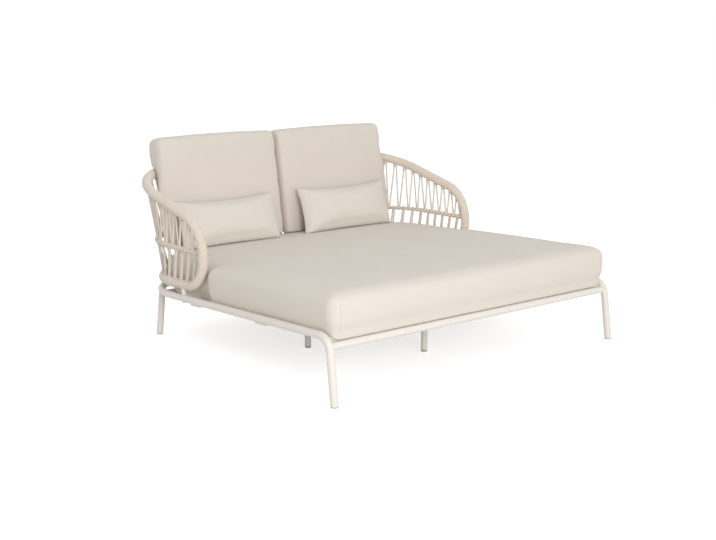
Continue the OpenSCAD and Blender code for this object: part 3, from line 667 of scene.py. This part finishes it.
# %% Make the knot and set the knots
def knot_mesh(name, wide, deep, turns, rope_radius, sides=10):
    """A collar of rope turns round a pair: a turned profile of bumps, squashed to wide by deep."""
    neck, groove, crest = 0.35, 0.93, 1.16
    turn_height, shoulder, cap = 1.9, 0.62, 0.35
    profile = []
    for turn in range(turns):
        middle = (turn - (turns - 1) / 2) * turn_height
        profile += [(groove, middle - shoulder), (crest, middle), (groove, middle + shoulder)]
    profile = [(neck, profile[0][1] - cap), *profile, (neck, profile[-1][1] + cap)]
    mesh = bmesh.new()
    layer = mesh.loops.layers.uv.new("UVMap")
    rings = []
    for reach, height in profile:
        rings.append([mesh.verts.new((wide * reach * math.cos(2 * math.pi * k / sides),
                                      deep * reach * math.sin(2 * math.pi * k / sides),
                                      height * rope_radius)) for k in range(sides)])
    for lower_ring, upper_ring in zip(rings, rings[1:]):
        for k in range(sides):
            m = (k + 1) % sides
            mesh.faces.new((lower_ring[k], lower_ring[m], upper_ring[m], upper_ring[k]))
    mesh.faces.new(rings[0][::-1])
    mesh.faces.new(rings[-1])
    for face in mesh.faces:
        for loop in face.loops:
            x, y, z = loop.vert.co
            loop[layer].uv = (math.atan2(y, x) * wide, z / (rope_radius * 2 * math.pi))
    bmesh.ops.recalc_face_normals(mesh, faces=mesh.faces)
    data = bpy.data.meshes.new(name)
    mesh.to_mesh(data)
    mesh.free()
    return data


def direction(line, s, reach=0.004):
    return unit(line(s + reach) - line(s - reach))


def set_knots(name, places, mesh):
    holder = bpy.data.objects.new(name + "_one", mesh)
    scene.collection.objects.link(holder)
    path = new_path(name, [[p] for p, _, _ in places],
                    {"down": [d for _, d, _ in places], "aside": [a for _, _, a in places]})
    grow(name, path, knot_group, {"Knot": holder, "Material": rope}, "frame")
    bpy.data.objects.remove(holder)


top_knots, low_knots, ties = [], [], []
top_away, low_away = wrap_radius + 0.0045, wrap_radius + 0.003
upright = np.array([0, 0, 1.0])
for i in range(-cells, cells + 1):
    rail, below = top_point(top_at(i)), middle_point(middle_at(i))
    down = unit(below - rail)
    top_knots.append((rail + down * top_away, down, direction(top_point, top_at(i))))
    foot = low_point(low_at(i))
    up = unit(below - foot)
    low_knots.append((foot + up * low_away, up, direction(low_point, low_at(i))))
    for place in (middle_at(i), foremost(middle_at(i + 0.5))):
        ties.append((middle_point(place), direction(middle_point, place), upright))

set_knots("top_knots", top_knots, knot_mesh("top_knot", 0.0120, 0.0080, 2, 0.0040))
set_knots("low_knots", low_knots, knot_mesh("low_knot", 0.0115, 0.0075, 1, 0.0040))
set_knots("middle_ties", ties, knot_mesh("middle_tie", 0.0108, 0.0108, 2, 0.0038))

# %% [markdown]
# ## Soft cushions
# A cushion is foam in a sewn cover. A drawn shape never looks stuffed, so each one starts from
# its CAD solid, is remeshed evenly, made a little smaller, and blown up as cloth for twenty
# frames without gravity. How far a point may end inside or outside the solid is limited smoothly,
# so that a cushion fills the space that its solid holds and stays clear of its neighbours. The
# movement is then evened out between neighbouring points, and one subdivision smooths the result.


# %% Copy a CAD solid as an even, slightly smaller skin
def applied(piece):
    """The piece's mesh with all its modifiers applied."""
    depsgraph = bpy.context.evaluated_depsgraph_get()
    depsgraph.update()
    mesh = bpy.data.meshes.new_from_object(piece.evaluated_get(depsgraph), depsgraph=depsgraph)
    piece.modifiers.clear()
    piece.data = mesh
    return mesh


def points_of(mesh):
    flat = np.zeros(len(mesh.vertices) * 3)
    mesh.vertices.foreach_get("co", flat)
    return flat.reshape(-1, 3)


def normals_of(mesh):
    flat = np.zeros(len(mesh.vertices) * 3, np.float32)
    mesh.vertex_normals.foreach_get("vector", flat)
    return flat.reshape(-1, 3).astype(float)


def put_points(mesh, points):
    mesh.vertices.foreach_set("co", points.ravel())
    mesh.update()


def smooth(mesh, points, rounds, share=0.5):
    """Averages every point with its neighbours, a few times over."""
    pairs = np.zeros(len(mesh.edges) * 2, int)
    mesh.edges.foreach_get("vertices", pairs)
    a, b = pairs.reshape(-1, 2).T
    count = np.bincount(a, minlength=len(points)) + np.bincount(b, minlength=len(points))
    for _ in range(rounds):
        total = np.stack([np.bincount(a, points[b, k], len(points))
                          + np.bincount(b, points[a, k], len(points)) for k in range(3)], 1)
        points = points + (total / count[:, None] - points) * share
    return points


def held_near(points, solid, reach=0.0012):
    """Brings points that the smoothing carried off back to within reach of the solid."""
    for index, point in enumerate(points):
        spot, _, _, gap = solid.find_nearest(Vector(point))
        if gap > reach:
            points[index] = np.array(spot) + (point - np.array(spot)) * (reach / gap)
    return points


def skin_of(node_name, piece_name, voxel, inset, rounds, bulge):
    """An even skin round the solid and, where it is given, round a bulge as well."""
    mesh = bmesh.new()
    mesh.from_mesh(nodes[node_name].data)
    if bulge:
        added = bmesh.ops.convex_hull(mesh, input=[mesh.verts.new(p) for p in bulge])
        loose = [g for g in added["geom_interior"] if isinstance(g, bmesh.types.BMVert)]
        bmesh.ops.delete(mesh, geom=loose, context="VERTS")
    bmesh.ops.remove_doubles(mesh, verts=mesh.verts, dist=1e-5)
    bmesh.ops.recalc_face_normals(mesh, faces=mesh.faces)
    data = bpy.data.meshes.new(piece_name)
    mesh.to_mesh(data)
    solid = BVHTree.FromBMesh(mesh)
    mesh.free()
    data.materials.clear()
    piece = bpy.data.objects.new(piece_name, data)
    scene.collection.objects.link(piece)
    even = piece.modifiers.new("even", "REMESH")
    even.mode = "VOXEL"
    even.voxel_size = voxel
    data = applied(piece)
    full = held_near(smooth(data, points_of(data), rounds), solid)
    put_points(data, full)
    put_points(data, full - normals_of(data) * inset)
    return piece


print("skin helper ready")


# %% Blow a skin up as cloth
def blow_up(piece, pressure, frames=20):
    """Runs the cloth simulation and returns where every point ends."""
    cloth = piece.modifiers.new("cloth", "CLOTH")
    cloth.settings.quality = 5
    cloth.settings.mass = 0.25
    cloth.settings.tension_stiffness = 22
    cloth.settings.compression_stiffness = 18
    cloth.settings.shear_stiffness = 9
    cloth.settings.bending_stiffness = 0.8
    cloth.settings.air_damping = 3
    cloth.settings.use_pressure = True
    cloth.settings.uniform_pressure_force = pressure
    cloth.settings.effector_weights.gravity = 0
    cloth.collision_settings.use_collision = False
    cloth.point_cache.frame_start = 1
    cloth.point_cache.frame_end = frames
    for frame_number in range(1, frames + 1):
        scene.frame_set(frame_number)
    depsgraph = bpy.context.evaluated_depsgraph_get()
    ends = points_of(piece.evaluated_get(depsgraph).data)
    piece.modifiers.remove(cloth)
    scene.frame_set(1)
    return ends


def stuff(piece, inset, proud, give, pressure):
    """Moves the skin by the simulation, to between give inside the solid and proud outside it."""
    start, normals = points_of(piece.data), normals_of(piece.data)
    move = normals * inset
    began = time.time()
    move = blow_up(piece, pressure) - start
    print(f"{piece.name}: {len(start):,} points, {time.time() - began:.0f} s of cloth")
    move -= move.mean(0)
    out = (move * normals).sum(1)
    side = move - normals * out[:, None]
    room, past = proud(start), out - inset
    out = inset + np.where(past > 0, room * np.tanh(past / room), give * np.tanh(past / give))
    length = np.linalg.norm(side, axis=1)
    side *= (give * np.tanh(length / give) / np.maximum(length, 1e-9))[:, None]
    put_points(piece.data, start + smooth(piece.data, side + normals * out[:, None], rounds=8))
    print(f"{piece.name}: moved out {out.min() * 1000:.1f} to {out.max() * 1000:.1f} mm, "
          f"mean {out.mean() * 1000:.1f}")


def subdivide(piece):
    modifier = piece.modifiers.new("soften", "SUBSURF")
    modifier.levels = modifier.render_levels = 1
    applied(piece)


print("cloth helpers ready")

# %% [markdown]
# ### Seams, and how a cushion rests
# A seam is sewn after the stuffing: the cloth is pulled in along a line, and a thin welt of
# folded cloth lies in the groove. The line is laid near the cushion and then dropped onto its
# surface. A cushion that stands on the mattress is heavy, so its underside sags until it meets
# the mattress.

# %% Helpers for seams, rest and the weave's direction
seam_step = 0.004


def lay_on(piece, lines, lift=0.0):
    """Drops the points of each line onto the piece's surface, lifted off it by a little."""
    tree = BVHTree.FromObject(piece, bpy.context.evaluated_depsgraph_get())
    laid = []
    for line in lines:
        points = []
        for point in line:
            spot, normal, _, _ = tree.find_nearest(Vector(point))
            points.append(np.array(spot + normal * lift))
        laid.append(points)
    return laid


def pull_in(piece, lines, depth, width, pucker=0.0):
    """Draws the cloth in along the lines, with a soft edge, deeper at the puckers."""
    points, normals = points_of(piece.data), normals_of(piece.data)
    low, high = points.min(0) - width, points.max(0) + width
    cell = width * 3
    seam = np.array([p for line in lines for p in line])
    keys = {}
    for index, key in enumerate(map(tuple, np.floor((seam - low) / cell).astype(int))):
        keys.setdefault(key, []).append(index)
    home = np.floor((points - low) / cell).astype(int)
    near = np.full(len(points), np.inf)
    long_wave, short_wave = 0.127, 0.071
    run = np.arange(len(seam)) * seam_step * 2 * math.pi
    wave = 0.6 * np.sin(run / long_wave) + 0.4 * np.sin(run / short_wave + 1.3)
    depths = np.full(len(points), float(depth))
    for key, members in keys.items():
        found = np.flatnonzero((np.abs(home - np.array(key)) <= 1).all(1))
        gaps = np.linalg.norm(points[found, None] - seam[None, members], axis=2)
        gap, which = gaps.min(1), np.array(members)[gaps.argmin(1)]
        closer = gap < near[found]
        near[found[closer]] = gap[closer]
        depths[found[closer]] = depth * (1 + pucker * wave[which[closer]])
    put_points(piece.data, points - normals * (depths * np.exp(-(near / width) ** 2))[:, None])


def rest_on(piece, support, reach=0.045, gap=0.0010):
    """Lets the underside of a piece sag onto the soft piece that carries it."""
    tree = BVHTree.FromObject(support, bpy.context.evaluated_depsgraph_get())
    points, above = points_of(piece.data), 0.01
    for index in np.flatnonzero(points[:, 2] < points[:, 2].min() + 3 * reach):
        start = Vector(points[index]) + Vector((0, 0, above))
        spot = tree.ray_cast(start, Vector((0, 0, -1)), reach + above)[0]
        if spot is not None:
            space = points[index, 2] - spot.z - gap
            share = max(0.0, space / reach)
            points[index, 2] -= space * max(0.0, 1 - share * share) ** 2
    put_points(piece.data, points)


def leaning(angle):
    """The turn that sets a leaning piece upright, for its UV map."""
    return np.array([[1, 0, 0], [0, math.cos(angle), math.sin(angle)],
                     [0, -math.sin(angle), math.cos(angle)]]).T


def box_uv(piece, turn):
    """A UV map in metres, laid on each face from the side that it faces."""
    mesh = piece.data
    points = points_of(mesh) @ turn
    facing = np.zeros(len(mesh.polygons) * 3, np.float32)
    mesh.polygons.foreach_get("normal", facing)
    facing = np.abs(facing.reshape(-1, 3).astype(float) @ turn).argmax(1)
    corners = np.zeros(len(mesh.loops), int)
    mesh.loops.foreach_get("vertex_index", corners)
    sizes = np.zeros(len(mesh.polygons), int)
    mesh.polygons.foreach_get("loop_total", sizes)
    axis = np.repeat(facing, sizes)
    spots = points[corners]
    u = np.where(axis == 0, spots[:, 1], spots[:, 0])
    v = np.where(axis == 2, spots[:, 1], spots[:, 2])
    layer = mesh.uv_layers.new(name="UVMap")
    layer.data.foreach_set("uv", np.stack([u, v], 1).astype(np.float32).ravel())


def closed_line(corners):
    """A closed run of points at even steps."""
    corners = np.array(corners + [corners[0]])
    run = np.r_[0, np.cumsum(np.linalg.norm(np.diff(corners, axis=0), axis=1))]
    places = np.linspace(0, run[-1], int(run[-1] / seam_step) + 1)
    return [np.array([np.interp(s, run, corners[:, k]) for k in range(3)]) for s in places]


def sew_welt(name, lines, radius, cloth, body):
    grow(name, new_path("welts", lines), rope_run,
         {"Radius": radius, "Sides": 6, "Material": cloth}, body)


print("seam helpers ready")

# %% [markdown]
# ### The mattress
# The mattress is one deep foam block with a crowned top. In front of the arms it is as wide as
# the base, and its front lip hangs down to the front rail. The remesh rounds that thin lip away,
# so it is drawn down again afterwards. The cover has upright seams at the two front corners.

# %% Make the mattress
least_room = 0.0003


def soft_piece(node_name, piece_name, cloth, voxel, inset, proud, give, pressure, rounds,
               bulge=None):
    piece = skin_of(node_name, piece_name, voxel, inset, rounds, bulge)
    stuff(piece, inset, proud, give, pressure)
    subdivide(piece)
    piece.data.materials.append(cloth)
    piece.data.shade_smooth()
    return piece


def settle(piece, body, node_name, lean_angle):
    box_uv(piece, leaning(lean_angle))
    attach(piece, body)
    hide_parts(node_name)
    print(f"{piece.name}: {len(piece.data.polygons) * 2:,} triangles")


def mattress_room(points):
    """Proud of the solid only on the free top and front, and not beside the arms or below."""
    top_from, top_over, top_proud = 0.34, 0.06, 0.0015
    arms_from, arms_over = 0.05, 0.15
    high = np.clip((points[:, 2] - top_from) / top_over, 0, 1)
    return least_room + top_proud * high * np.clip((arms_from - points[:, 1]) / arms_over, 0, 1)


def draw_lip_down(piece, node_name, near=0.03):
    """Draws the front lip down to the lowest point of the solid's."""
    lip_from, lip_over, solid_lip = 0.019, 0.008, 0.010
    points, solid = points_of(piece.data), points_of(nodes[node_name].data)
    lip = np.clip((front_y + lip_from - points[:, 1]) / lip_over, 0, 1)
    lip_low = points[lip > 0.5, 2].min()
    drop = lip_low - solid[solid[:, 1] < front_y + solid_lip, 2].min()
    points[:, 2] -= drop * lip * np.clip((lip_low + near - points[:, 2]) / near, 0, 1)
    put_points(piece.data, points)
    print(f"the front lip reaches {drop * 1000:.1f} mm further down")


mattress = soft_piece("mattress", "mattress_cover", mattress_cloth, voxel=0.012, inset=0.0020,
                      proud=mattress_room, give=0.0012, pressure=4.0, rounds=3)
draw_lip_down(mattress, "mattress")
half_wide, corner_radius, front_over = 0.789, 0.044, 0.021
seam_angle = math.radians(-88)
corner_seams = []
for side in (-1, 1):
    x = side * (half_wide - corner_radius + corner_radius * math.cos(seam_angle))
    y = front_y - front_over + corner_radius + corner_radius * math.sin(seam_angle)
    corner_seams.append([(x, y, z) for z in np.arange(0.250, 0.40, seam_step)])
corner_seams = lay_on(mattress, corner_seams)
pull_in(mattress, corner_seams, depth=0.0010, width=0.006)
settle(mattress, "mattress", node_name="mattress", lean_angle=0)
sew_welt("mattress_corner_welts", lay_on(mattress, corner_seams, 0.0002), 0.0013, mattress_cloth,
         "mattress")

# %% [markdown]
# ### The back cushions
# Two boxed cushions lean on the back by about nine degrees. Each has a front and a rear panel
# joined by a boxing, with a fine welt where they meet. The outer rear edge is rounded to suit the
# bend of the loop, and above the top rail each cushion bulges out a little over it.

# %% Make the back cushions
lean = math.radians(9.2)
back_crown, back_deep, back_wide, back_high = 0.009, 0.104, 0.665, 0.513
back_z, hairline = 0.390, 0.0004
back_y = top_y - (back_deep + back_crown + hairline + wrap_radius
                  + (top_z - back_z) * math.sin(lean)) / math.cos(lean)


def on_back(x, depth, height):
    """A point by its place on the leaning back: across, rearwards and up."""
    return np.array([x, back_y + depth * math.cos(lean) + height * math.sin(lean),
                     back_z - depth * math.sin(lean) + height * math.cos(lean)])


def cushion_room(points):
    """A back cushion may stand proud a little at its free top and towards the other cushion."""
    top_from, top_over, top_proud = 0.66, 0.10, 0.004
    meeting_x, meeting_wide, meeting_proud = 0.0085, 0.020, 0.0024
    high = np.clip((points[:, 2] - top_from) / top_over, 0, 1)
    meeting = np.exp(-((points[:, 0] - meeting_x) / meeting_wide) ** 2)
    proud = np.maximum(top_proud * high, meeting_proud * meeting)
    return least_room + proud * (1 - meeting * 0.4)


def bulge_over_rail(node_name, inward):
    """The upper part of a cushion, which bulges out over the top rail, as points of a hull."""
    clear, upper_part, edge = 0.004, 0.070, 0.016
    over = top_z + wrap_radius / math.cos(rise) + clear
    upper = [np.array(v.co) for v in nodes[node_name].data.vertices if v.co.z > over + upper_part]
    dropped = []
    for point in upper:
        drop = ((point[2] - over - (point[1] - top_y) * math.tan(rise))
                / (1 - math.tan(lean) * math.tan(rise)))
        dropped.append(point - (0, drop * math.tan(lean), drop))
    inner = max(upper, key=lambda p: p[0] * inward)[0]
    corner = [np.array([inner - inward * back, *on_back(0, depth, height)[1:]])
              for depth in (0.024, 0.080)
              for back, height in ((0.0, back_high - edge), (edge, back_high - 0.001))]
    return upper + dropped + corner


def outline(x, depth, wide, high, radius):
    """A rounded rectangle on the leaning back, as points."""
    corners = []
    for cx, cz, start in ((wide / 2 - radius, high - radius, 0),
                          (radius - wide / 2, high - radius, 90),
                          (radius - wide / 2, radius, 180), (wide / 2 - radius, radius, 270)):
        for k in range(7):
            a = math.radians(start + k * 15)
            corners.append(on_back(x + cx + radius * math.cos(a), depth,
                                   cz + radius * math.sin(a)))
    return corners


seam_inset, seam_trim, seam_radius = 0.006, 0.004, 0.034
for label, middle, inward in (("left", -0.3275, 1), ("right", 0.3445, -1)):
    body = f"back_cushion_{label}"
    cushion = soft_piece(body, f"back_cushion_cover_{label}", cushion_cloth, voxel=0.008,
                         inset=0.003, proud=cushion_room, give=0.003, pressure=4.0, rounds=4,
                         bulge=bulge_over_rail(body, inward))
    rest_on(cushion, mattress)
    seams = lay_on(cushion, [closed_line(outline(middle, depth, back_wide - seam_trim,
                                                 back_high - seam_trim, seam_radius))
                             for depth in (seam_inset, back_deep - seam_inset)])
    pull_in(cushion, seams, depth=0.0016, width=0.024, pucker=0.6)
    pull_in(cushion, seams, depth=0.0020, width=0.008, pucker=0.4)
    settle(cushion, body, node_name=body, lean_angle=lean)
    sew_welt(f"back_cushion_welts_{label}", lay_on(cushion, seams, 0.0003), 0.0015, cushion_cloth,
             body)

# %% [markdown]
# ### The lumbar pillows
# Two knife-edged pillows stand in front and lean on the cushions, nineteen degrees from upright.
# Their long and short edges are drawn in between the four tips, which is what a square of cloth
# does when it is stuffed, and the upper edge sags a little further.

# %% Make the lumbar pillows
pillow_wide, pillow_high = 0.545, 0.226
pillow_lean = math.radians(19)


def pillow_room(points):
    """A pillow may stand half a millimetre proud all over."""
    return np.full(len(points), 0.0005)


def dip(piece, low, high, depth):
    """Draws a pillow out to its full width, and lets its long upper edge sag between the tips."""
    points = points_of(piece.data)
    middle, wide = (low[0] + high[0]) / 2, high[0] - low[0]
    points[:, 0] = middle + (points[:, 0] - middle) * wide / np.ptp(points[:, 0])
    across = (points[:, 0] - middle) * 2 / wide
    up = (points[:, 2] * 2 - low[2] - high[2]) / (high[2] - low[2])
    points[:, 2] -= depth * np.clip(1 - across ** 2, 0, 1) * np.clip(up, 0, 1)
    put_points(piece.data, points)


def pillow_edge(low, high):
    """The seam line of a pillow between its lowest and highest corners, its edges drawn in."""
    centre = (np.array(low) + np.array(high)) / 2
    a, b = pillow_wide / 2, pillow_high / 2
    long_in, short_in = 0.011, 0.009
    long_run, short_run = np.linspace(-1, 1, 24)[:-1], np.linspace(-1, 1, 12)[:-1]
    long_back, short_back = np.linspace(1, -1, 24)[:-1], np.linspace(1, -1, 12)[:-1]
    runs = ([(a * t, long_in * (1 - t * t) - b) for t in long_run]
            + [(a - short_in * (1 - t * t), b * t) for t in short_run]
            + [(a * t, b - long_in * (1 - t * t)) for t in long_back]
            + [(short_in * (1 - t * t) - a, b * t) for t in short_back])
    return [centre + (u, v * math.sin(pillow_lean), v * math.cos(pillow_lean)) for u, v in runs]


for label in ("left", "right"):
    body = f"lumbar_pillow_{label}"
    pillow = soft_piece(body, f"lumbar_pillow_cover_{label}", pillow_cloth, voxel=0.006,
                        inset=0.002, proud=pillow_room, give=0.003, pressure=3.0, rounds=3)
    rest_on(pillow, mattress)
    low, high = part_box(body)
    dip(pillow, low, high, depth=0.008)
    seams = lay_on(pillow, [closed_line(pillow_edge(low, high))])
    settle(pillow, body, node_name=body, lean_angle=pillow_lean)
    sew_welt(f"lumbar_pillow_welt_{label}", seams, 0.0014, pillow_cloth, body)

# %% [markdown]
# ## Floor and light
# The photograph has a plain white ground. The floor is pale and catches a soft shadow. To the
# camera and in reflections it glows, so that it reads as white without any more light on the
# daybed. A wide soft lamp from the front left models the cushions, and an even pale surround
# fills the rest.

# %% Floor
floor_half = 14
floor_mesh = bpy.data.meshes.new("floor")
floor_mesh.from_pydata([(x * floor_half, y * floor_half, 0)
                        for x, y in ((-1, -1), (1, -1), (1, 1), (-1, 1))], [], [(0, 1, 2, 3)])
floor = bpy.data.objects.new("floor", floor_mesh)
scene.collection.objects.link(floor)
ground = bpy.data.materials.new("pale_ground")
ground.use_nodes = True
tree = Tree(ground.node_tree)
ground.node_tree.nodes.remove(ground.node_tree.nodes["Principled BSDF"])
seen = tree.add("ShaderNodeLightPath")
seen = tree.field(seen, "Is Camera Ray").math("MAXIMUM", tree.field(seen, "Is Glossy Ray"))
matt = tree.add("ShaderNodeBsdfDiffuse", None, {"Color": (0.80, 0.80, 0.80, 1)}).outputs[0]
glow = tree.add("ShaderNodeEmission", None, {"Color": (1, 1, 1, 1), "Strength": 0.60}).outputs[0]
lit = tree.add("ShaderNodeAddShader", None, {0: matt, 1: glow}).outputs[0]
choice = tree.add("ShaderNodeMixShader", None, {0: seen, 1: matt, 2: lit}).outputs[0]
tree.put(ground.node_tree.nodes["Material Output"].inputs["Surface"], choice)
floor_mesh.materials.append(ground)
print("floor made")

# %% World and lamp
world = bpy.data.worlds.new("surround")
scene.world = world
world.use_nodes = True
tree = Tree(world.node_tree)
background = world.node_tree.nodes["Background"]
paths = tree.add("ShaderNodeLightPath")
seen = (tree.field(paths, "Is Camera Ray").math("MAXIMUM", tree.field(paths, "Is Glossy Ray"))
        .math("MAXIMUM", tree.field(paths, "Is Transmission Ray")))
background.inputs["Color"].default_value = (1, 1, 1, 1)
surround_light, seen_light = 0.74, 0.26
tree.put(background.inputs["Strength"], surround_light + seen * seen_light)


def lamp(name, place, aim, size, watts):
    data = bpy.data.lights.new(name, "AREA")
    data.shape = "DISK"
    data.size = size
    data.energy = watts
    lamp_object = bpy.data.objects.new(name, data)
    scene.collection.objects.link(lamp_object)
    lamp_object.location = place
    turn = (Vector(aim) - Vector(place)).to_track_quat("-Z", "Y")
    lamp_object.rotation_euler = turn.to_euler()


lamp("key", place=(-2.25, -5.5, 1.65), aim=(0, 0, 0.35), size=2.4, watts=138)
print("world and lamp made")
